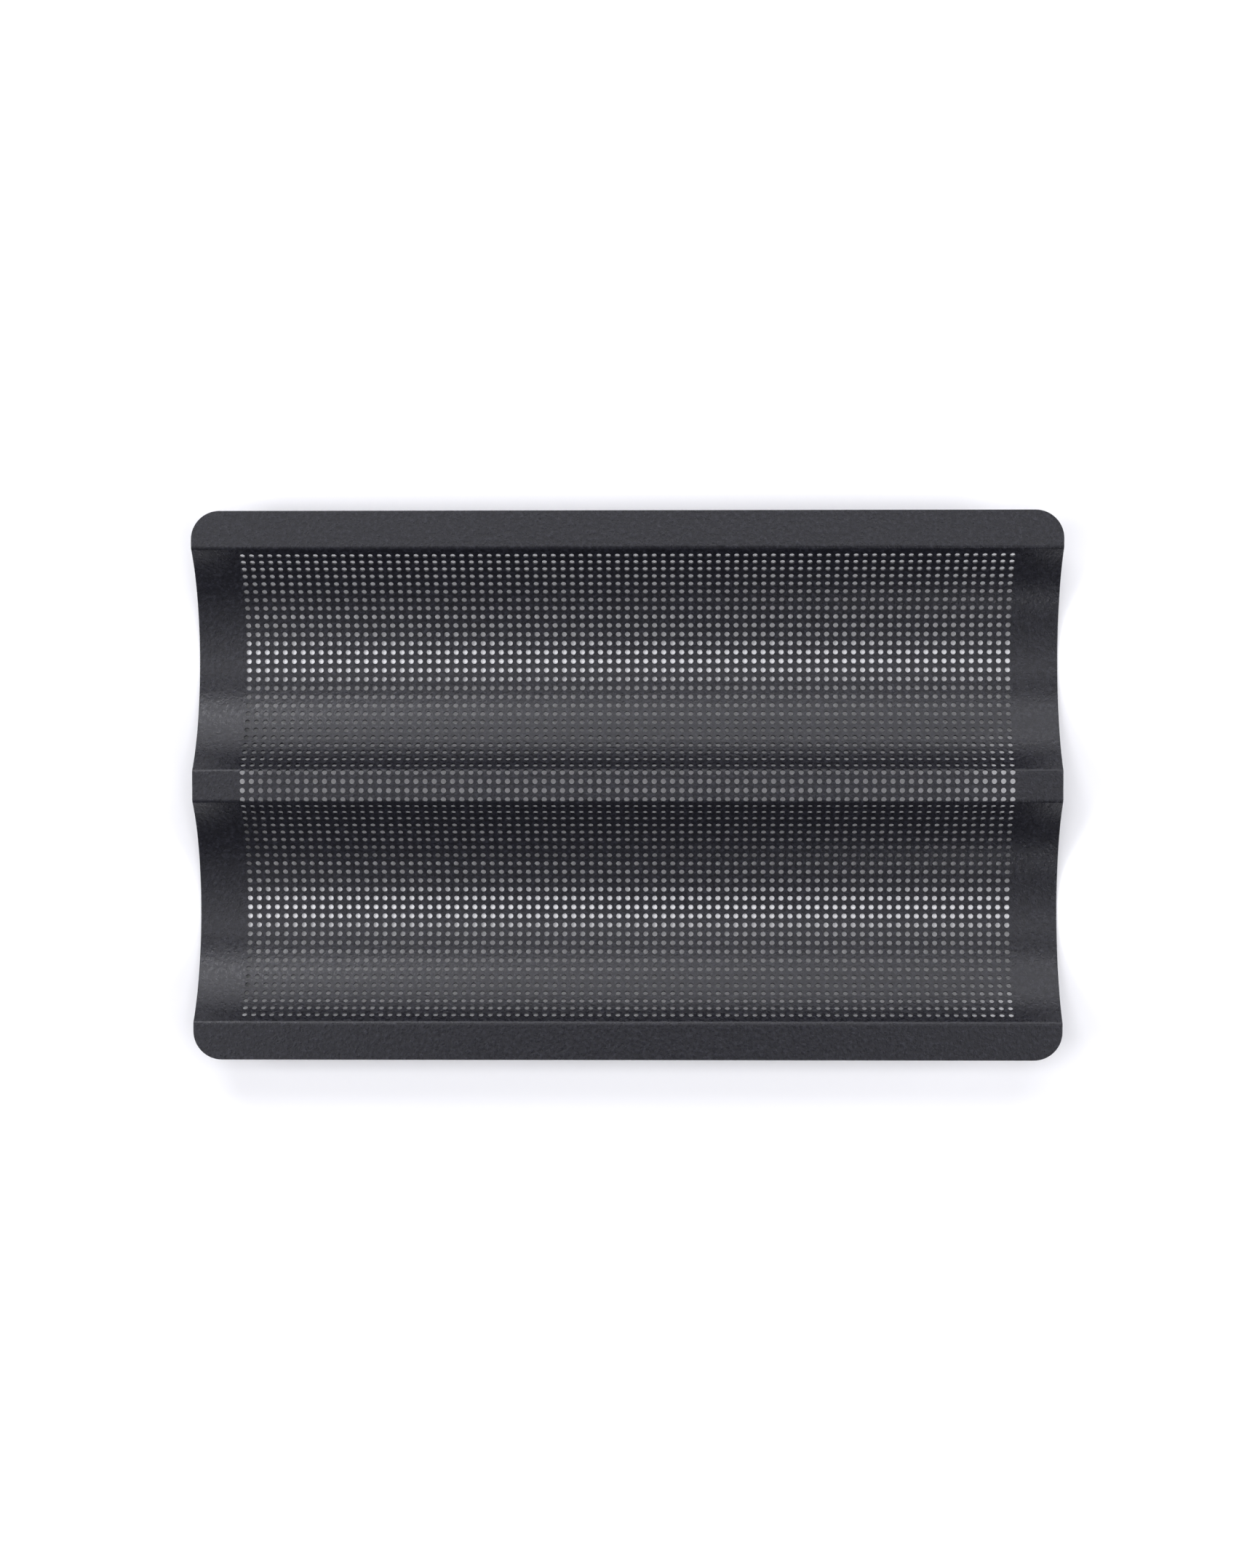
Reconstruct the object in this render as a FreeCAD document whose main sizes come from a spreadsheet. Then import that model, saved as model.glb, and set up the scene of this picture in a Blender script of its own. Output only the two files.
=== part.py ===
"""Two-trough perforated baguette tray, pressed from one sheet of steel.

The section runs front to back: a flat flange, a trough, a flat ridge, a second trough and a
second flange. Every zone keeps the sheet's thickness and is as long as the tray. The troughs are
laid out in flats one hole pitch wide, so that each row of holes lies in a flat of its own.

Frame: X along the troughs, Y from front to back, Z up, origin at the centre of the base.
"""
import FreeCAD, Part
import os

import Sketcher
from FreeCAD import Vector

# Driving dimensions, in millimetres unless the name says otherwise
DIMENSIONS = [
    ("tray_length", 380),       # along the troughs
    ("tray_width", 240),        # across both flanges
    ("sheet_thickness", 0.9),   # with the coating on both sides
    ("corner_radius", 12.5),    # outer corners of the flanges, seen from above
    ("ridge_flat", 11.4),       # flat of the ridge, between its two bends
    ("bend_radius", 1.5),       # inside radius of every bend
    ("lip_length", 1.2),        # straight wall from a bend to the first flat of a trough
    ("trough_radius", 61),      # from the trough's axis to the middle of the sheet
    ("hole_pitch", 4),          # both ways, and the width of one flat
    ("hole_diameter", 2.3),     # of the coated hole
    ("hole_offset", 0.6),       # from the middle of each flat, towards the ridge
    ("hole_columns", 85),
    ("trough_rows", 27),        # rows of holes, and flats, in one trough
    ("ridge_rows", 4),
]

# Expressions shared by several features
THICKNESS = "Dimensions.sheet_thickness"
FLAT_ANGLE = "(2 * atan(Dimensions.hole_pitch / (2 * Dimensions.trough_radius)))"
WALL_ANGLE = f"((Dimensions.trough_rows - 1) / 2 * {FLAT_ANGLE})"
RIM_ANGLE = f"(Dimensions.trough_rows / 2 * {FLAT_ANGLE})"
RIM_RADIUS = f"(Dimensions.trough_radius / cos({FLAT_ANGLE} / 2))"
MID_BEND = f"(Dimensions.bend_radius + {THICKNESS} / 2)"
BEND_REACH = f"({MID_BEND} * sin({WALL_ANGLE}) + Dimensions.lip_length * cos({WALL_ANGLE}))"
BEND_DROP = f"({MID_BEND} * (1 - cos({WALL_ANGLE})) + Dimensions.lip_length * sin({WALL_ANGLE}))"
TROUGH_REACH = f"({RIM_RADIUS} * sin({RIM_ANGLE}))"
TROUGH_Y = f"(Dimensions.ridge_flat / 2 + {BEND_REACH} + {TROUGH_REACH})"
AXIS_Z = f"({THICKNESS} / 2 + Dimensions.trough_radius)"
TOP_Z = f"({AXIS_Z} - {RIM_RADIUS} * cos({RIM_ANGLE}) + {BEND_DROP})"
FLANGE_FLAT = f"(Dimensions.tray_width / 2 - {TROUGH_Y} - {TROUGH_REACH} - {BEND_REACH})"
FIRST_HOLE_X = "((Dimensions.hole_columns - 1) / 2 * Dimensions.hole_pitch)"


def make_sheet(doc):
    """The spreadsheet of driving dimensions, one named cell each."""
    sheet = doc.addObject("Spreadsheet::Sheet", "Dimensions")
    for row, (name, value) in enumerate(DIMENSIONS, start=1):
        sheet.set(f"A{row}", name)
        sheet.set(f"B{row}", str(value))
        sheet.setAlias(f"B{row}", name)
    doc.recompute()
    return sheet


def origin_feature(body, role):
    """One of the body's own origin planes or axes."""
    return next(item for item in body.Origin.OriginFeatures if item.Role == role)


def make_body(doc, name):
    body = doc.addObject("PartDesign::Body", name)
    body.Label = name
    return body


def make_sketch(body, name, plane):
    sketch = body.newObject("Sketcher::SketchObject", name)
    sketch.AttachmentSupport = [(origin_feature(body, plane), "")]
    sketch.MapMode = "FlatFace"
    return sketch


def bind(sketch, name, constraint, expression):
    """Adds a named constraint whose value follows an expression."""
    index = sketch.addConstraint(constraint)
    sketch.renameConstraint(index, name)
    sketch.setExpression(f"Constraints.{name}", expression)


def place(body, expressions):
    """Binds parts of a body's placement, such as Base.z or Rotation.Yaw, to expressions."""
    for path, expression in expressions.items():
        body.setExpression(f"Placement.{path}", expression)


def join_ends(sketch, pairs):
    for (line_a, end_a), (line_b, end_b) in pairs:
        sketch.addConstraint(Sketcher.Constraint("Coincident", line_a, end_a, line_b, end_b))


def pad_along_tray(body, sketch, name):
    pad = body.newObject("PartDesign::Pad", name)
    pad.Profile = sketch
    pad.SideType = "Symmetric"
    pad.setExpression("Length", "Dimensions.tray_length")
    sketch.Visibility = False
    return pad


def sketch_hole(body, name, y_expression):
    """The first hole of a grid: a circle at the low X end, on the body's XY plane."""
    sketch = make_sketch(body, name, "XY_Plane")
    start_x = -168.0
    start_y = -1.0
    circle = sketch.addGeometry(Part.Circle(Vector(start_x, start_y, 0), Vector(0, 0, 1), 1.0))
    bind(sketch, "diameter", Sketcher.Constraint("Diameter", circle, 2.0), "Dimensions.hole_diameter")
    bind(sketch, "from_middle", Sketcher.Constraint("DistanceX", circle, 3, -1, 1, -start_x), FIRST_HOLE_X)
    bind(sketch, "from_axis", Sketcher.Constraint("DistanceY", circle, 3, -1, 1, -start_y), y_expression)
    return sketch


def cut_hole(body, sketch, name, depth_expression):
    """Cuts the sketched hole downwards, from the sketch's plane."""
    pocket = body.newObject("PartDesign::Pocket", name)
    pocket.Profile = sketch
    pocket.Type = "Length"
    pocket.setExpression("Length", depth_expression)
    sketch.Visibility = False
    return pocket


def repeat_hole(body, hole, name, row_pattern, row_axis, row_spacing, row_count):
    """Repeats the first hole along X, and then each column in rows."""
    grid = body.newObject("PartDesign::MultiTransform", name)
    grid.Originals = [hole]
    columns = body.newObject("PartDesign::LinearPattern", f"{name}_columns")
    columns.Direction = (origin_feature(body, "X_Axis"), [""])
    rows = body.newObject(f"PartDesign::{row_pattern}", f"{name}_rows")
    if row_pattern == "PolarPattern":
        rows.Axis = (origin_feature(body, row_axis), [""])
    else:
        rows.Direction = (origin_feature(body, row_axis), [""])
    for pattern, spacing, count in (
        (columns, "Dimensions.hole_pitch", "Dimensions.hole_columns"),
        (rows, row_spacing, row_count),
    ):
        pattern.Mode = "Spacing"
        pattern.setExpression("Offset", spacing)
        pattern.setExpression("Occurrences", count)
    grid.Transformations = [columns, rows]
    grid.Refine = False
    body.Tip = grid
    return grid


def make_trough(doc, name, yaw):
    """One trough, built about its own axis: a flat, its polar pattern, then the grid of holes.

    The first flat lies at the bottom of the circle and the others follow it round the axis, so
    the body is turned back by half of the whole angle.
    """
    body = make_body(doc, name)
    section = make_sketch(body, f"{name}_flat_section", "YZ_Plane")
    inner, outer, half = -60.7, -61.3, 2.0
    corners = [(-half, inner), (half, inner), (half, outer), (-half, outer)]
    for start, end in zip(corners, corners[1:] + corners[:1]):
        section.addGeometry(Part.LineSegment(Vector(*start, 0), Vector(*end, 0)))
    join_ends(section, [((side, 2), ((side + 1) % 4, 1)) for side in range(4)])
    section.addConstraint(Sketcher.Constraint("Symmetric", 0, 1, 0, 2, -2))
    section.addConstraint(Sketcher.Constraint("Symmetric", 2, 1, 2, 2, -2))
    inner_radius = f"(Dimensions.trough_radius - {THICKNESS} / 2)"
    outer_radius = f"(Dimensions.trough_radius + {THICKNESS} / 2)"
    bind(section, "inner_radius", Sketcher.Constraint("DistanceY", 0, 1, -1, 1, -inner), inner_radius)
    bind(section, "outer_radius", Sketcher.Constraint("DistanceY", 2, 1, -1, 1, -outer), outer_radius)
    bind(section, "inner_width", Sketcher.Constraint("DistanceX", 0, 1, 0, 2, 2 * half),
         f"2 * {inner_radius} * tan({FLAT_ANGLE} / 2)")
    bind(section, "outer_width", Sketcher.Constraint("DistanceX", 2, 2, 2, 1, 2 * half),
         f"2 * {outer_radius} * tan({FLAT_ANGLE} / 2)")
    flat = pad_along_tray(body, section, f"{name}_flat")

    flats = body.newObject("PartDesign::PolarPattern", f"{name}_flats")
    flats.Originals = [flat]
    flats.Axis = (origin_feature(body, "X_Axis"), [""])
    flats.Mode = "Spacing"
    flats.setExpression("Offset", FLAT_ANGLE)
    flats.setExpression("Occurrences", "Dimensions.trough_rows")
    body.Tip = flats
    doc.recompute()

    hole_sketch = sketch_hole(body, f"{name}_hole_circle", "Dimensions.hole_offset")
    hole_sketch.setExpression("AttachmentOffset.Base.z", f"{THICKNESS} - Dimensions.trough_radius")
    hole = cut_hole(body, hole_sketch, f"{name}_hole", f"2 * {THICKNESS}")
    doc.recompute()

    repeat_hole(body, hole, f"{name}_holes", "PolarPattern", "X_Axis", FLAT_ANGLE, "Dimensions.trough_rows")

    side = 1 if yaw == 0 else -1
    place(body, {
        "Base.y": f"{side} * {TROUGH_Y}",
        "Base.z": AXIS_Z,
        "Rotation.Yaw": f"{yaw} deg",
        "Rotation.Roll": f"-{WALL_ANGLE}",
    })
    return body


def bend_section(body, name, flat_expression):
    """Half section of a flat that ends in a bend and a lip down to a trough.

    The flat starts on the Z axis with the middle of the sheet at Z = 0. The lip ends on a plane
    through the trough's axis, where the first flat of the trough starts.
    """
    sketch = make_sketch(body, name, "YZ_Plane")
    half, flat, drop, inner_bend = 0.3, 8.0, 0.9, 1.7
    outer_bend = inner_bend + 2 * half
    bend_end = flat + outer_bend * 0.7
    lines = [
        ((0, half), (flat, half)),                              # 0, flat, upper side
        ((bend_end, -drop), (bend_end + 0.8, -2 * drop)),       # 1, lip, upper side
        ((bend_end + 0.8, -2 * drop), (bend_end + 0.3, -2.5 * drop)),   # 2, end of the lip
        ((bend_end + 0.3, -2.5 * drop), (flat + 1.2, -1.5 * drop)),     # 3, lip, under side
        ((flat, -half), (0, -half)),                            # 4, flat, under side
        ((0, -half), (0, half)),                                # 5, start of the flat
    ]
    for start, end in lines:
        sketch.addGeometry(Part.LineSegment(Vector(*start, 0), Vector(*end, 0)))
    centre = Vector(flat, half - outer_bend, 0)
    for radius in (outer_bend, inner_bend):                     # 6 and 7, bend, upper and under
        circle = Part.Circle(centre, Vector(0, 0, 1), radius)
        sketch.addGeometry(Part.ArcOfCircle(circle, 0.7, 1.57))
    # An arc runs counter-clockwise, so it starts at the lip and ends at the flat
    join_ends(sketch, [((1, 2), (2, 1)), ((2, 2), (3, 1)), ((4, 2), (5, 1)), ((5, 2), (0, 1))])
    join_ends(sketch, [((6, 3), (7, 3))])
    for line, line_end, arc, arc_end in ((0, 2, 6, 2), (1, 1, 6, 1), (3, 2, 7, 1), (4, 1, 7, 2)):
        sketch.addConstraint(Sketcher.Constraint("Tangent", line, line_end, arc, arc_end))
    sketch.addConstraint(Sketcher.Constraint("Horizontal", 0))
    sketch.addConstraint(Sketcher.Constraint("Horizontal", 4))
    sketch.addConstraint(Sketcher.Constraint("Vertical", 5))
    sketch.addConstraint(Sketcher.Constraint("Parallel", 1, 3))
    sketch.addConstraint(Sketcher.Constraint("Symmetric", 5, 1, 5, 2, -1, 1))
    bind(sketch, "thickness", Sketcher.Constraint("DistanceY", 5, 1, 5, 2, 2 * half), THICKNESS)
    bind(sketch, "flat", Sketcher.Constraint("DistanceX", 0, 1, 0, 2, flat), flat_expression)
    bind(sketch, "inner_bend", Sketcher.Constraint("Radius", 7, inner_bend), "Dimensions.bend_radius")
    bind(sketch, "wall_angle", Sketcher.Constraint("Angle", 1, -0.8), f"-{WALL_ANGLE}")
    bind(sketch, "end_angle", Sketcher.Constraint("Angle", 2, -2.4), f"{RIM_ANGLE} * -1 - 90 deg")
    lip = f"(Dimensions.lip_length + {THICKNESS} / 2 * tan({FLAT_ANGLE} / 2))"
    bind(sketch, "lip", Sketcher.Constraint("Distance", 1, 1, 1, 2, 1.2), lip)
    return sketch


def make_ridge(doc, name):
    """The flat ridge between the troughs, with the bends on both sides and four rows of holes.

    One half gets its two rows of holes, the outer one partly in the bend, and is mirrored.
    """
    body = make_body(doc, name)
    section = bend_section(body, f"{name}_half_section", "Dimensions.ridge_flat / 2")
    pad_along_tray(body, section, f"{name}_half")
    doc.recompute()

    hole_sketch = sketch_hole(body, f"{name}_hole_circle", "-Dimensions.hole_pitch / 2")
    hole_sketch.setExpression("AttachmentOffset.Base.z", THICKNESS)
    hole = cut_hole(body, hole_sketch, f"{name}_hole", f"2 * {THICKNESS} + Dimensions.bend_radius")
    doc.recompute()
    repeat_hole(body, hole, f"{name}_holes", "LinearPattern", "Y_Axis", "Dimensions.hole_pitch",
                "Dimensions.ridge_rows / 2")
    doc.recompute()

    whole = body.newObject("PartDesign::Mirrored", f"{name}_both_halves")
    whole.TransformMode = "Whole shape"
    whole.MirrorPlane = (origin_feature(body, "XZ_Plane"), [""])
    body.Tip = whole
    place(body, {"Base.z": TOP_Z})
    return body


def make_flange(doc, name, yaw):
    """A flange with its bend. It is drawn from its outer edge inwards, then turned into place."""
    body = make_body(doc, name)
    section = bend_section(body, f"{name}_section", FLANGE_FLAT)
    strip = pad_along_tray(body, section, f"{name}_strip")
    doc.recompute()
    corners = [f"Edge{number}" for number, edge in enumerate(strip.Shape.Edges, start=1)
               if is_upright(edge) and abs(edge.Vertexes[0].Y) < edge.Length]
    rounding = body.newObject("PartDesign::Fillet", f"{name}_corners")
    rounding.Base = (strip, corners)
    rounding.setExpression("Radius", "Dimensions.corner_radius")
    body.Tip = rounding
    side = -1 if yaw == 0 else 1
    place(body, {
        "Base.y": f"{side} * Dimensions.tray_width / 2",
        "Base.z": TOP_Z,
        "Rotation.Yaw": f"{yaw} deg",
    })
    return body


def is_upright(edge):
    start, end = (vertex.Point for vertex in edge.Vertexes)
    return abs(abs(end.z - start.z) - edge.Length) < 1e-6


def count_holes(shape, radius):
    """Holes are the round walls of the punch's radius."""
    walls = [face for face in shape.Faces if isinstance(face.Surface, Part.Cylinder)]
    return sum(abs(wall.Surface.Radius - radius) < 1e-6 for wall in walls)


def check(doc, sheet, holes_per_body):
    """Stops on a failed feature, or on a body that is not one valid solid with all its holes."""
    for item in doc.Objects:
        if {"Invalid", "Error"} & set(item.State):
            raise RuntimeError(f"{item.Name} failed: {item.State}")
    for body, expected in holes_per_body.items():
        shape = body.Shape
        if shape.isNull() or not shape.isValid() or len(shape.Solids) != 1:
            raise RuntimeError(f"{body.Label} is not one valid solid")
        found = count_holes(shape, sheet.hole_diameter / 2)
        if found != expected:
            raise RuntimeError(f"{body.Label} has {found} holes instead of {expected}")


def main():
    doc = FreeCAD.newDocument("BaguetteTray")
    sheet = make_sheet(doc)
    trough_holes = int(sheet.hole_columns * sheet.trough_rows)
    ridge_holes = int(sheet.hole_columns * sheet.ridge_rows)
    holes_per_body = {
        make_flange(doc, "rear_flange", 180): 0,
        make_trough(doc, "rear_trough", 0): trough_holes,
        make_ridge(doc, "centre_ridge"): ridge_holes,
        make_trough(doc, "front_trough", 180): trough_holes,
        make_flange(doc, "front_flange", 0): 0,
    }
    doc.recompute()
    check(doc, sheet, holes_per_body)
    os.makedirs("parts", exist_ok=True)
    for body in holes_per_body:
        body.Shape.exportStep(f"parts/{body.Label}.step")
        box = body.Shape.BoundBox
        print(f"{body.Label}: volume {body.Shape.Volume:.1f} mm3, faces {len(body.Shape.Faces)}, "
              f"Y {box.YMin:.3f} to {box.YMax:.3f}, Z {box.ZMin:.3f} to {box.ZMax:.3f}")


main()
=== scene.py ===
import math

import bpy
import numpy as np
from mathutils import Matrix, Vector
from mathutils.geometry import delaunay_2d_cdt


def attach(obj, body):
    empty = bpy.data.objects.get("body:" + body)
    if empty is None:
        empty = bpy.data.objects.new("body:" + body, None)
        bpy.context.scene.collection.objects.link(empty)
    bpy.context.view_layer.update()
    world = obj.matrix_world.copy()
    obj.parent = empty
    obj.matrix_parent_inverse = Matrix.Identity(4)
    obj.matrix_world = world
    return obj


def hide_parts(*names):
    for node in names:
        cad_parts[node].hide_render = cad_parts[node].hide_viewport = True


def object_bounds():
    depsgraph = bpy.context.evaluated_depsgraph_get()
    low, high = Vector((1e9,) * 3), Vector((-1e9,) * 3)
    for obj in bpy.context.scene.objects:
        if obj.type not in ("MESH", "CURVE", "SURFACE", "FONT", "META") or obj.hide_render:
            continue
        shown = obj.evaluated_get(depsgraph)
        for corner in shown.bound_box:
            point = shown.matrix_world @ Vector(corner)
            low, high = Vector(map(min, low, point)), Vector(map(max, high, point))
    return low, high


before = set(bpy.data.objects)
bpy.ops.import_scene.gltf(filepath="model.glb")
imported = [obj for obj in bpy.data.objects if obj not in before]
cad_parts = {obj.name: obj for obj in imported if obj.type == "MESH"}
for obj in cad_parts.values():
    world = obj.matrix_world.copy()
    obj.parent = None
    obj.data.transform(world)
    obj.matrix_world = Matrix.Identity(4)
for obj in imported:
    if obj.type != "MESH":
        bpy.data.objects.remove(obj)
cad_low, cad_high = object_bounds()

# The sheet's dimensions, in millimetres. The box comes from the CAD model.
MM = 0.001
HALF_LENGTH = cad_high.x / MM
HALF_WIDTH = cad_high.y / MM
TOP = cad_high.z / MM
THICK = 0.9
CORNER_RADIUS = 12.5
RIDGE_FLAT = 11.4
BEND_RADIUS = 1.95
LIP = 1.2
TROUGH_RADIUS = 61.0
PITCH = 4.0
HOLE_RADIUS = 1.15
COLUMNS = 85
TROUGH_ROWS = 27
FIRST_ROW = 1.4  # from a trough's start to the centre of its first row
EDGE_ROUND = 0.4
EDGE_STEPS = 3
TROUGH_CORNERS = 16  # corners of a hole's outline
RIDGE_CORNERS = 32
END_MARGIN = 15.0  # no hole's outline comes this close to the tray's ends
RIM_LIMIT = 0.6  # longer than any edge of a hole's outline
RIM_CLEAR = 1.62  # a point this far along the tray from a hole's centre is outside it

# A trough's wall slopes by 13 steps, and each step is the angle that one hole pitch takes.
STEP_ANGLE = 2 * math.atan(PITCH / 2 / TROUGH_RADIUS)
WALL_ANGLE = (TROUGH_ROWS // 2) * STEP_ANGLE
BEND_LENGTH = BEND_RADIUS * WALL_ANGLE
STRAIGHT = LIP + PITCH / 2
ARC_LENGTH = 2 * TROUGH_RADIUS * WALL_ANGLE

# Runs of the sheet's middle line from the ridge's centre outwards: length and curvature.
RUNS = [
    (RIDGE_FLAT / 2, 0.0),
    (BEND_LENGTH, -1 / BEND_RADIUS),
    (STRAIGHT, 0.0),
    (ARC_LENGTH, 1 / TROUGH_RADIUS),
    (STRAIGHT, 0.0),
    (BEND_LENGTH, -1 / BEND_RADIUS),
    (HALF_WIDTH, 0.0),
]
RUN_ENDS = np.cumsum([length for length, _ in RUNS])
RIDGE_END = RIDGE_FLAT / 2 + BEND_LENGTH + LIP
TROUGH_END = RUN_ENDS[4] - LIP
TROUGH_SCALE = (TROUGH_END - RIDGE_END) / (TROUGH_ROWS * PITCH)


def run_starts():
    """Where each run of the middle line starts: y, z and slope."""
    y, z, slope = 0.0, TOP - THICK / 2, 0.0
    starts = []
    for length, curve in RUNS:
        starts.append((y, z, slope))
        turned = slope + curve * length
        if curve:
            y += (math.sin(turned) - math.sin(slope)) / curve
            z -= (math.cos(turned) - math.cos(slope)) / curve
        else:
            y += length * math.cos(slope)
            z += length * math.sin(slope)
        slope = turned
    return np.array(starts)


RUN_STARTS = run_starts()
CURVES = np.array([curve for _, curve in RUNS])


def section(s):
    """The middle line at signed distances s from the ridge's centre: y, z and slope."""
    s = np.asarray(s, float)
    side = np.where(s < 0, -1.0, 1.0)
    run = np.minimum(np.searchsorted(RUN_ENDS, np.abs(s)), len(RUNS) - 1)
    along = np.abs(s) - np.concatenate(([0.0], RUN_ENDS))[run]
    y, z, slope = RUN_STARTS[run].T
    curve = CURVES[run]
    bent = curve != 0
    radius = 1 / np.where(bent, curve, 1.0)
    turned = slope + curve * along
    arc_y = (np.sin(turned) - np.sin(slope)) * radius
    arc_z = (np.cos(slope) - np.cos(turned)) * radius
    y = y + np.where(bent, arc_y, along * np.cos(slope))
    z = z + np.where(bent, arc_z, along * np.sin(slope))
    return side * y, z, side * turned


def flange_s(y):
    """The distance along the sheet at a place on the flange's flat."""
    return RUN_ENDS[5] + y - RUN_STARTS[6][0]


class Flat:
    """A piece of the sheet as it lies before forming: points (x, s) and faces."""

    def __init__(self):
        self.points = []
        self.faces = []

    def add(self, points, faces):
        start = len(self.points)
        self.points.extend((float(x), float(s)) for x, s in points)
        self.faces.extend([tuple(start + i for i in face) for face in faces])

    def grid(self, xs, ss):
        """Quads between the lines xs, one value or an array over ss, and the lines ss."""
        lines = [np.broadcast_to(np.asarray(x, float), len(ss)) for x in xs]
        points = [(line[j], ss[j]) for line in lines for j in range(len(ss))]
        n = len(ss)
        faces = [
            (i * n + j, (i + 1) * n + j, (i + 1) * n + j + 1, i * n + j + 1)
            for i in range(len(lines) - 1)
            for j in range(n - 1)
        ]
        self.add(points, faces)

    def welded(self):
        """The points and faces with points that coincide made one."""
        keys = {}
        order = []
        where = []
        for x, s in self.points:
            key = (round(x, 3), round(s, 3))
            if key not in keys:
                keys[key] = len(order)
                order.append((x, s))
            where.append(keys[key])
        faces = [tuple(where[i] for i in face) for face in self.faces]
        return np.array(order), faces


def hole_tile(sides, low, high, corners, inner=()):
    """One hole in its square of sheet, centred on the hole: points and triangles.

    sides: the heights of the points up both sides; low and high: the square's ends;
    corners: the hole's number of corners; inner: more points inside the square."""
    turn = [2 * math.pi * i / corners for i in range(corners)]
    rim = [(HOLE_RADIUS * math.cos(a), HOLE_RADIUS * math.sin(a)) for a in turn]
    half = PITCH / 2
    border = [(x, s) for x in (-half, half) for s in sides]
    border += [(0.0, low), (0.0, high)]
    points = [Vector(p) for p in rim + border + list(inner)]
    edges = [(i, (i + 1) % corners) for i in range(corners)]
    verts, _, faces = delaunay_2d_cdt(points, edges, [], 0, 1e-6)[:3]
    kept = []
    for face in faces:
        centre = sum((verts[i] for i in face), Vector((0.0, 0.0))) / len(face)
        if centre.length > HOLE_RADIUS * math.cos(math.pi / corners) * 0.999:
            kept.append(tuple(face))
    return [tuple(v) for v in verts], kept


def add_row(flat, tile, row_s, scale=1.0):
    """One row of holes along the tray."""
    points, faces = tile
    for column in range(COLUMNS):
        x0 = (column - COLUMNS // 2) * PITCH
        flat.add([(x0 + x, row_s + s * scale) for x, s in points], faces)


def edge_counts(faces):
    """The edges that only one face uses, each in that face's direction."""
    once = {}
    for face in faces:
        for a, b in zip(face, face[1:] + face[:1]):
            if (b, a) in once:
                del once[(b, a)]
            else:
                once[(a, b)] = True
    return list(once)


def formed(points, height):
    """Places in space, in mm, for points (x, s) at a height over the middle line."""
    y, z, slope = section(points[:, 1])
    return np.column_stack(
        (points[:, 0], y - height * np.sin(slope), z + height * np.cos(slope))
    )


def directions(points):
    """At each point (x, s), the sheet's normal and its direction along s."""
    _, _, slope = section(points[:, 1])
    zero = np.zeros(len(points))
    normal = np.column_stack((zero, -np.sin(slope), np.cos(slope)))
    along = np.column_stack((zero, np.cos(slope), np.sin(slope)))
    return normal, along


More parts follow.
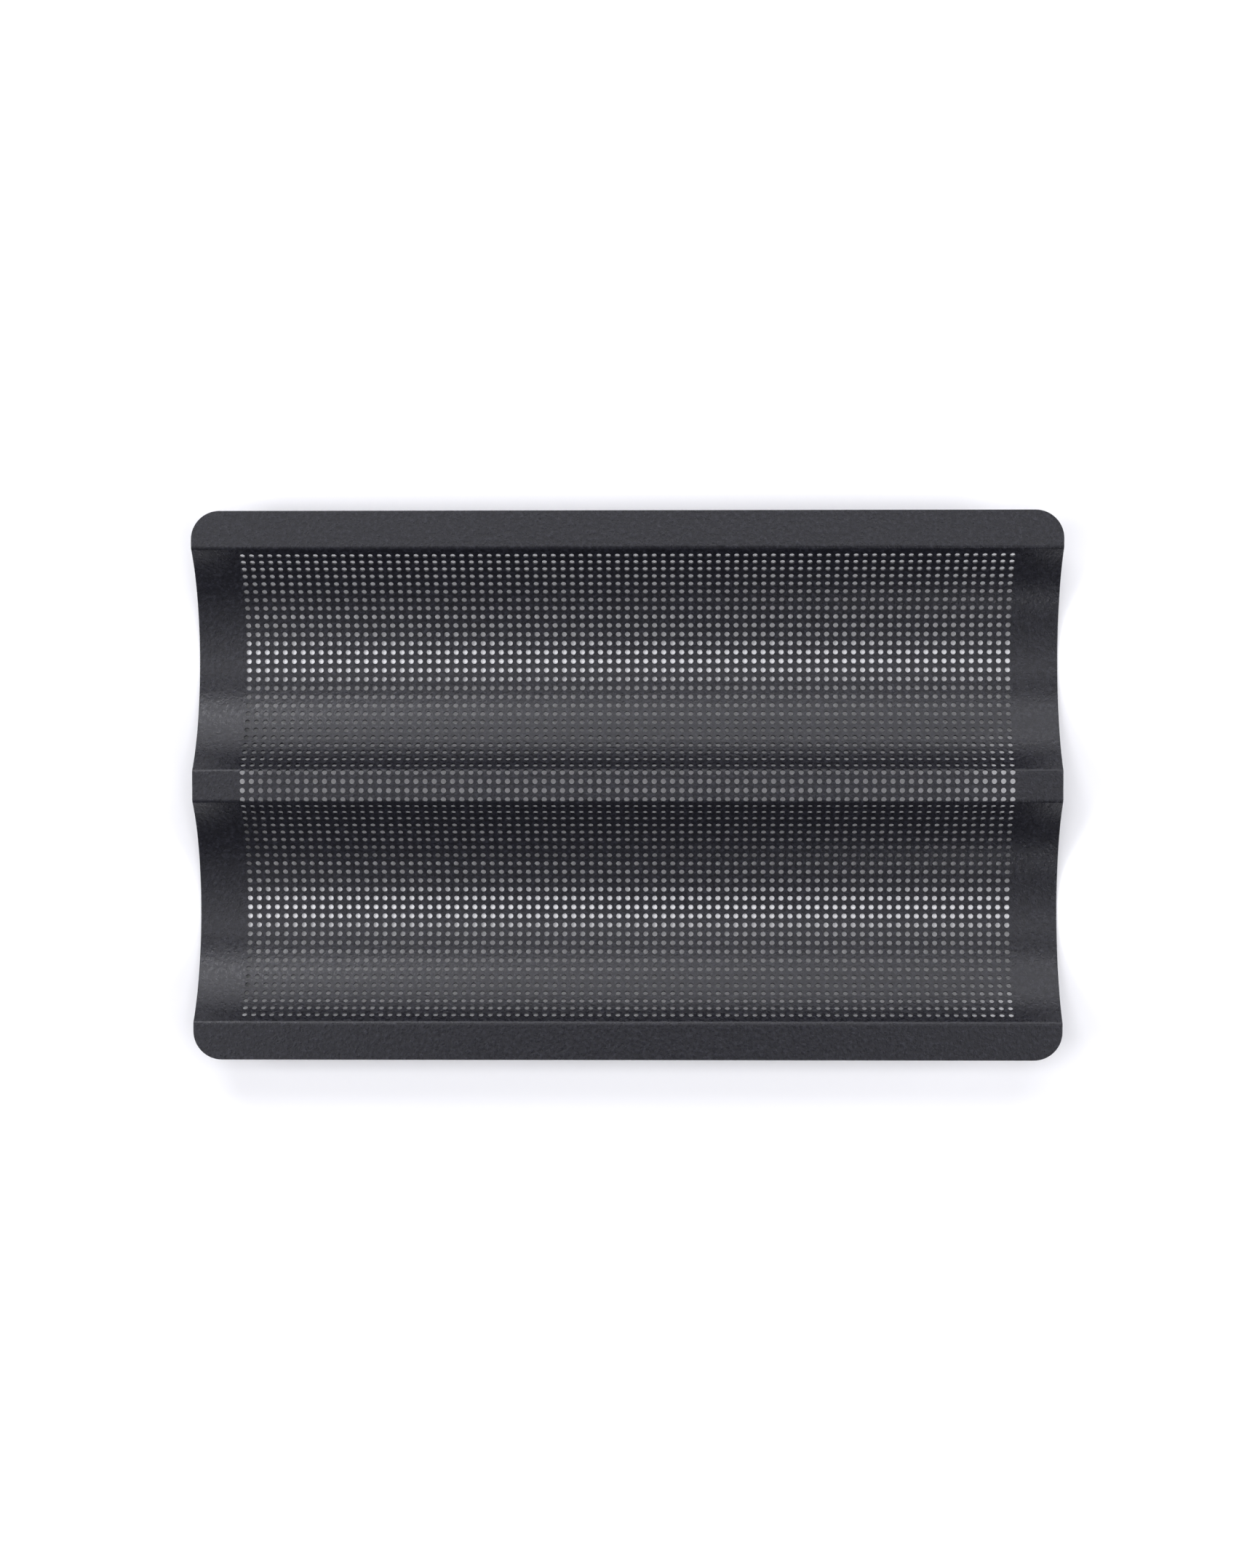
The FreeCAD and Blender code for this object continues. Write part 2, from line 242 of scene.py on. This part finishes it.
def make_piece(name, flat, joints, front=False):
    """A closed mesh from a flat piece of sheet, formed, with its thickness.

    joints: the distances s at which the sheet goes on into the next piece."""
    points, faces = flat.welded()
    count = len(points)
    normal, along = directions(points)
    half = THICK / 2
    verts = [formed(points, half), formed(points, -half)]
    loops, normals, sizes = [], [], []

    for face in faces:
        loops.extend(face)
        normals.extend(normal[list(face)])
        sizes.append(len(face))
        back = face[::-1]
        loops.extend(count + i for i in back)
        normals.extend(-normal[list(back)])
        sizes.append(len(back))

    rims, edges, ends = [], [], []
    for a, b in edge_counts(faces):
        pa, pb = points[a], points[b]
        joint = [s for s in joints if abs(pa[1] - s) < 0.01 and abs(pb[1] - s) < 0.01]
        length = math.dist(pa, pb)
        inside = abs(pa[0]) < HALF_LENGTH - END_MARGIN and length < RIM_LIMIT
        if joint:
            ends.append((a, b))
        elif inside and abs(pa[1]) < TROUGH_END:
            rims.append((a, b))
        else:
            edges.append((a, b))

    def outward(pairs):
        """At each point of the pairs, the direction out of the sheet's edge."""
        sums = {}
        for a, b in pairs:
            step = points[b] - points[a]
            step = np.array((step[1], -step[0])) / np.linalg.norm(step)
            for i in (a, b):
                sums[i] = sums.get(i, 0) + step
        out = {}
        for i, v in sums.items():
            v = v / np.linalg.norm(v)
            out[i] = v[0] * np.array((1.0, 0.0, 0.0)) + v[1] * along[i]
        return out

    # The walls of the holes.
    out = outward(rims)
    for a, b in rims:
        loops.extend((a, count + a, count + b, b))
        normals.extend((out[a], out[a], out[b], out[b]))
        sizes.append(4)

    # The sheet's own edges, rounded.
    out = outward(edges)
    rings = {}
    ring_normals = {}
    new = []
    for i, direction in out.items():
        ring = [i]
        turned = [normal[i]]
        middle = formed(points[i : i + 1], 0.0)[0]
        for up in (1, -1):
            angles = [math.pi / 2 * k / EDGE_STEPS for k in range(1, EDGE_STEPS + 1)]
            if up < 0:
                angles = angles[::-1]
            for a in angles:
                rise = half - EDGE_ROUND + EDGE_ROUND * math.cos(a)
                spot = middle + direction * EDGE_ROUND * math.sin(a) + normal[i] * up * rise
                ring.append(2 * count + len(new))
                new.append(spot)
                turned.append(direction * math.sin(a) + normal[i] * up * math.cos(a))
        ring.append(count + i)
        turned.append(-normal[i])
        rings[i] = ring
        ring_normals[i] = turned
    for a, b in edges:
        ra, rb, na, nb = rings[a], rings[b], ring_normals[a], ring_normals[b]
        for k in range(len(ra) - 1):
            loops.extend((ra[k], ra[k + 1], rb[k + 1], rb[k]))
            normals.extend((na[k], na[k + 1], nb[k + 1], nb[k]))
            sizes.append(4)

    # The cut faces at which the sheet goes on into the next piece.
    for a, b in ends:
        sign = 1.0 if points[b][0] < points[a][0] else -1.0
        facing = along[a] * sign
        loops.extend((a, count + a, count + b, b))
        normals.extend([facing] * 4)
        sizes.append(4)
    for i in set(rings) & {i for pair in ends for i in pair}:
        ring = rings[i]
        starts_here = any(a == i for a, _ in edges)
        order = ring if starts_here else ring[::-1]
        flatwise = along[i] if points[i][1] > np.mean(joints) else -along[i]
        if len(joints) == 1:
            flatwise = -along[i]
        loops.extend(order[::-1])
        normals.extend([flatwise] * len(ring))
        sizes.append(len(ring))

    verts = np.concatenate(verts + ([np.array(new)] if new else []))
    return build_mesh(name, verts, loops, sizes, np.array(normals), front)


def build_mesh(name, verts, loops, sizes, normals, front):
    """A mesh object from corner lists. front mirrors it to the tray's front half."""
    verts = verts * MM
    loops = np.array(loops, np.int32)
    sizes = np.array(sizes, np.int32)
    starts = np.concatenate(([0], np.cumsum(sizes)[:-1])).astype(np.int32)
    if front:
        verts = verts * (1, -1, 1)
        normals = normals * (1, -1, 1)
        order = np.concatenate([np.arange(a, a + n)[::-1] for a, n in zip(starts, sizes)])
        loops = loops[order]
        normals = normals[order]
    mesh = bpy.data.meshes.new(name)
    mesh.vertices.add(len(verts))
    mesh.vertices.foreach_set("co", verts.astype(np.float32).ravel())
    mesh.loops.add(len(loops))
    mesh.loops.foreach_set("vertex_index", loops)
    mesh.polygons.add(len(sizes))
    mesh.polygons.foreach_set("loop_start", starts)
    mesh.polygons.foreach_set("use_smooth", np.ones(len(sizes), bool))
    mesh.update(calc_edges=True)
    mesh.validate()
    mesh.normals_split_custom_set(normals.tolist())
    piece = bpy.data.objects.new(name, mesh)
    bpy.context.scene.collection.objects.link(piece)
    return piece


# Lines along the tray in the plain end margins, up to the first column of holes.
GRID_END = COLUMNS * PITCH / 2
EDGE_X = HALF_LENGTH - EDGE_ROUND


def add_margins(flat, ss):
    """The plain sheet at both ends of the tray, beside the rows of holes."""
    flat.grid([-EDGE_X, -(EDGE_X + GRID_END) / 2, -GRID_END], ss)
    flat.grid([GRID_END, (EDGE_X + GRID_END) / 2, EDGE_X], ss)


def trough_sheet():
    """A trough's sheet, with its rows of holes."""
    flat = Flat()
    half = PITCH / 2
    start = RIDGE_END
    tile = hole_tile((-half, 0.0, half), -half, half, TROUGH_CORNERS)
    cut = hole_tile((-FIRST_ROW, 0.0, half), -FIRST_ROW, half, TROUGH_CORNERS)
    sides = [start]
    for row in range(TROUGH_ROWS):
        s = start + (FIRST_ROW + row * PITCH) * TROUGH_SCALE
        add_row(flat, tile if row else cut, s, TROUGH_SCALE)
        sides += [s, s + half * TROUGH_SCALE]
    add_margins(flat, sides)
    strip = [sides[-1], TROUGH_END]
    add_margins(flat, strip)
    xs = [(column - COLUMNS / 2) * PITCH for column in range(COLUMNS + 1)]
    mids = [x + half for x in xs[:-1]]
    flat.grid(sorted(xs + mids), strip)
    return flat


def ridge_sheet():
    """The ridge's sheet, with its four rows of holes and the bends on both sides."""
    flat = Flat()
    half = PITCH / 2
    inner_sides = (-half, -1.0, 0.0, 1.0, half)
    inner = hole_tile(inner_sides, -half, half, RIDGE_CORNERS)
    bend_start = RIDGE_FLAT / 2 - 1.5 * PITCH
    bend = [bend_start + BEND_LENGTH * k / 4 for k in range(5)]
    sides = [-half, -HOLE_RADIUS] + bend + [half]
    spots = [(x, s) for x in (-RIM_CLEAR, RIM_CLEAR) for s in sides[1:-1]]
    outer = hole_tile(tuple(sides), -half, half, RIDGE_CORNERS, spots)
    mirrored = ([(x, -s) for x, s in outer[0]], [face[::-1] for face in outer[1]])
    for row, tile in ((-1.5, mirrored), (-0.5, inner), (0.5, inner), (1.5, outer)):
        add_row(flat, tile, row * PITCH)
    rear = [half + s for s in inner_sides] + [1.5 * PITCH + s for s in sides[1:]]
    rear.append(RIDGE_END)
    lines = [-s for s in rear[:0:-1]] + rear
    add_margins(flat, lines)
    xs = [(column / 2 - COLUMNS / 2) * PITCH for column in range(2 * COLUMNS + 1)]
    flat.grid(xs, [2 * PITCH, RIDGE_END])
    flat.grid(xs, [-RIDGE_END, -2 * PITCH])
    return flat


def flange_sheet():
    """A flange's sheet: the lip, the bend and the flat with its two rounded corners."""
    flat = Flat()
    centre_y = HALF_WIDTH - CORNER_RADIUS
    radius = CORNER_RADIUS - EDGE_ROUND
    plain = [TROUGH_END, RUN_ENDS[4]]
    plain += [RUN_ENDS[4] + BEND_LENGTH * k / 8 for k in range(1, 9)]
    plain.append(flange_s(centre_y))
    xs = np.linspace(-1.0, 1.0, 25)
    flat.grid([x * EDGE_X for x in xs], plain)
    turns = np.linspace(0, math.pi / 2, 17)
    ss = flange_s(centre_y + radius * np.sin(turns))
    ends = HALF_LENGTH - CORNER_RADIUS + radius * np.cos(turns)
    flat.grid([x * ends for x in xs], ss)
    return flat


pieces = {}
troughs = trough_sheet()
pieces["rear_trough"] = make_piece("rear_trough_sheet", troughs, [RIDGE_END, TROUGH_END])
pieces["front_trough"] = make_piece(
    "front_trough_sheet", troughs, [RIDGE_END, TROUGH_END], front=True
)
pieces["centre_ridge"] = make_piece(
    "centre_ridge_sheet", ridge_sheet(), [-RIDGE_END, RIDGE_END]
)
flange = flange_sheet()
pieces["rear_flange"] = make_piece("rear_flange_sheet", flange, [TROUGH_END])
pieces["front_flange"] = make_piece("front_flange_sheet", flange, [TROUGH_END], front=True)


def socket(node, name, value):
    node.inputs[name].default_value = value


# The coating's colours from its hollows to its flecks, each at a height of the relief.
COAT_COLOURS = [
    (0.38, (0.0052, 0.0052, 0.0076)),
    (0.52, (0.0078, 0.0079, 0.0118)),
    (0.66, (0.020, 0.0204, 0.027)),
]
GRAIN_SCALE = 1400.0
MOTTLE_SCALE = 600.0
MOTTLE_SHARE = 0.6
GLOSS_SCALE = 640.0
GLOSS_RANGE = (0.35, 0.65)
ROUGHNESS = (0.22, 0.36)
RELIEF_DEPTH = 0.0003
RELIEF_STRENGTH = 0.8
COAT_IOR = 1.45


def coating():
    """Dark satin non-stick coating: a fine grain over a coarser mottle."""
    material = bpy.data.materials.new("nonstick_coating")
    material.use_nodes = True
    nodes, links = material.node_tree.nodes, material.node_tree.links
    shader = nodes["Principled BSDF"]
    place = nodes.new("ShaderNodeTexCoord")

    def noise(scale):
        node = nodes.new("ShaderNodeTexNoise")
        socket(node, "Scale", scale)
        socket(node, "Detail", 2.0)
        links.new(place.outputs["Object"], node.inputs["Vector"])
        return node

    def ramp(source, stops):
        node = nodes.new("ShaderNodeValToRGB")
        while len(node.color_ramp.elements) < len(stops):
            node.color_ramp.elements.new(0.5)
        for element, (spot, colour) in zip(node.color_ramp.elements, stops):
            element.position = spot
            element.color = (*colour, 1.0)
        links.new(source, node.inputs["Fac"])
        return node

    grain = noise(GRAIN_SCALE)
    mottle = noise(MOTTLE_SCALE)
    relief = nodes.new("ShaderNodeMix")
    socket(relief, "Factor", MOTTLE_SHARE)
    links.new(grain.outputs["Fac"], relief.inputs["A"])
    links.new(mottle.outputs["Fac"], relief.inputs["B"])
    colour = ramp(relief.outputs["Result"], COAT_COLOURS)
    links.new(colour.outputs["Color"], shader.inputs["Base Color"])
    gloss = noise(GLOSS_SCALE)
    rough = nodes.new("ShaderNodeMapRange")
    socket(rough, "From Min", GLOSS_RANGE[0])
    socket(rough, "From Max", GLOSS_RANGE[1])
    socket(rough, "To Min", ROUGHNESS[0])
    socket(rough, "To Max", ROUGHNESS[1])
    links.new(gloss.outputs["Fac"], rough.inputs["Value"])
    links.new(rough.outputs["Result"], shader.inputs["Roughness"])
    bump = nodes.new("ShaderNodeBump")
    socket(bump, "Strength", RELIEF_STRENGTH)
    socket(bump, "Distance", RELIEF_DEPTH)
    links.new(relief.outputs["Result"], bump.inputs["Height"])
    links.new(bump.outputs["Normal"], shader.inputs["Normal"])
    socket(shader, "IOR", COAT_IOR)
    return material


coat = coating()
for node, piece in pieces.items():
    piece.data.materials.append(coat)
    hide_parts(node)
    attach(piece, "root")


def floor():
    """A plain white table that the tray stands on."""
    size = 3.0
    mesh = bpy.data.meshes.new("table")
    corners = [(-size, -size, 0), (size, -size, 0), (size, size, 0), (-size, size, 0)]
    mesh.from_pydata(corners, [], [(0, 1, 2, 3)])
    table = bpy.data.objects.new("table", mesh)
    bpy.context.scene.collection.objects.link(table)
    material = bpy.data.materials.new("white_table")
    material.use_nodes = True
    shader = material.node_tree.nodes["Principled BSDF"]
    socket(shader, "Base Color", (0.92, 0.92, 0.92, 1.0))
    socket(shader, "Roughness", 0.9)
    mesh.materials.append(material)


# The studio, in metres.
LIGHT_DISTANCE = 2.2
LIGHT_COLOUR = (0.99, 0.99, 1.04)
BAND_HEIGHT = 0.56
BAND_END = 1.15
BAND_MIDDLE = 0.38


def softbox(name, place, target, size, radiance):
    """A soft rectangular light that faces a target. The camera doesn't see it."""
    data = bpy.data.lights.new(name, "AREA")
    data.shape = "RECTANGLE"
    data.size, data.size_y = size
    data.energy = math.pi * size[0] * size[1] * radiance
    data.color = LIGHT_COLOUR
    light = bpy.data.objects.new(name, data)
    light.location = place
    aim = Vector(target) - Vector(place)
    light.rotation_euler = aim.to_track_quat("-Z", "Y").to_euler()
    light.visible_camera = False
    bpy.context.scene.collection.objects.link(light)


def band(name, elevation, low_x, high_x, radiance):
    """A softbox across the tray at an elevation, counted from the rear over the top."""
    angle = math.radians(elevation)
    x = (low_x + high_x) / 2
    place = (x, LIGHT_DISTANCE * math.cos(angle), LIGHT_DISTANCE * math.sin(angle))
    softbox(name, place, (x, 0.0, 0.0), (high_x - low_x, BAND_HEIGHT), radiance)


def side_box(name, direction, size, radiance):
    """A softbox beside the tray, in a direction from the tray's centre."""
    place = Vector(direction).normalized() * LIGHT_DISTANCE
    softbox(name, place, (0.0, 0.0, 0.0), size, radiance)


def studio():
    """Soft light from above and from the rear, with a box on each side."""
    world = bpy.data.worlds.new("studio")
    bpy.context.scene.world = world
    world.use_nodes = True
    back = world.node_tree.nodes["Background"]
    socket(back, "Color", (*LIGHT_COLOUR, 1.0))
    socket(back, "Strength", 0.15)
    band("overhead_rear", 80, -BAND_END, BAND_END, 2.05)
    band("overhead_front", 100, -BAND_MIDDLE, BAND_MIDDLE, 0.2)
    band("rear_high", 50, -BAND_END, BAND_END, 2.7)
    band("rear_middle", 35, -BAND_END, BAND_END, 1.5)
    band("rear_low", 20, -BAND_END, BAND_END, 2.6)
    for side in (-1, 1):
        ends = sorted((side * BAND_MIDDLE, side * BAND_END))
        band("overhead_front_side", 100, *ends, 1.6)
        band("front_side", 115, *ends, 0.7)
        band("front_side_low", 130, *ends, 0.7)
    side_box("left_box", (-1.0, -0.05, 1.0), (1.1, 0.75), 8.2)
    side_box("right_box", (1.5, -0.2, 1.0), (1.1, 0.62), 8.8)
    side_box("right_low", (3.0, 0.0, 1.0), (1.1, 0.5), 4.6)
    softbox("front_strip", (0.52, -1.144, 1.0), (0.52, 0.0, 0.0), (0.44, 0.12), 6.5)
    softbox("rear_left", (-0.75, 1.35, 1.25), (-0.75, 0.0, 0.0), (0.6, 0.6), 4.4)


def camera():
    """Straight above the tray, a little to the rear and the right."""
    data = bpy.data.cameras.new("camera")
    data.lens = 70.96
    data.sensor_width = 36.0
    data.clip_start = 0.05
    data.clip_end = 20.0
    eye = bpy.data.objects.new("camera", data)
    eye.location = (0.025, 0.04276, 1.37152)
    eye.rotation_euler = [math.radians(a) for a in (-1.7832, 1.0464, -0.0419)]
    bpy.context.scene.collection.objects.link(eye)
    bpy.context.scene.camera = eye


floor()
studio()
camera()
bpy.context.scene.view_settings.view_transform = "Standard"
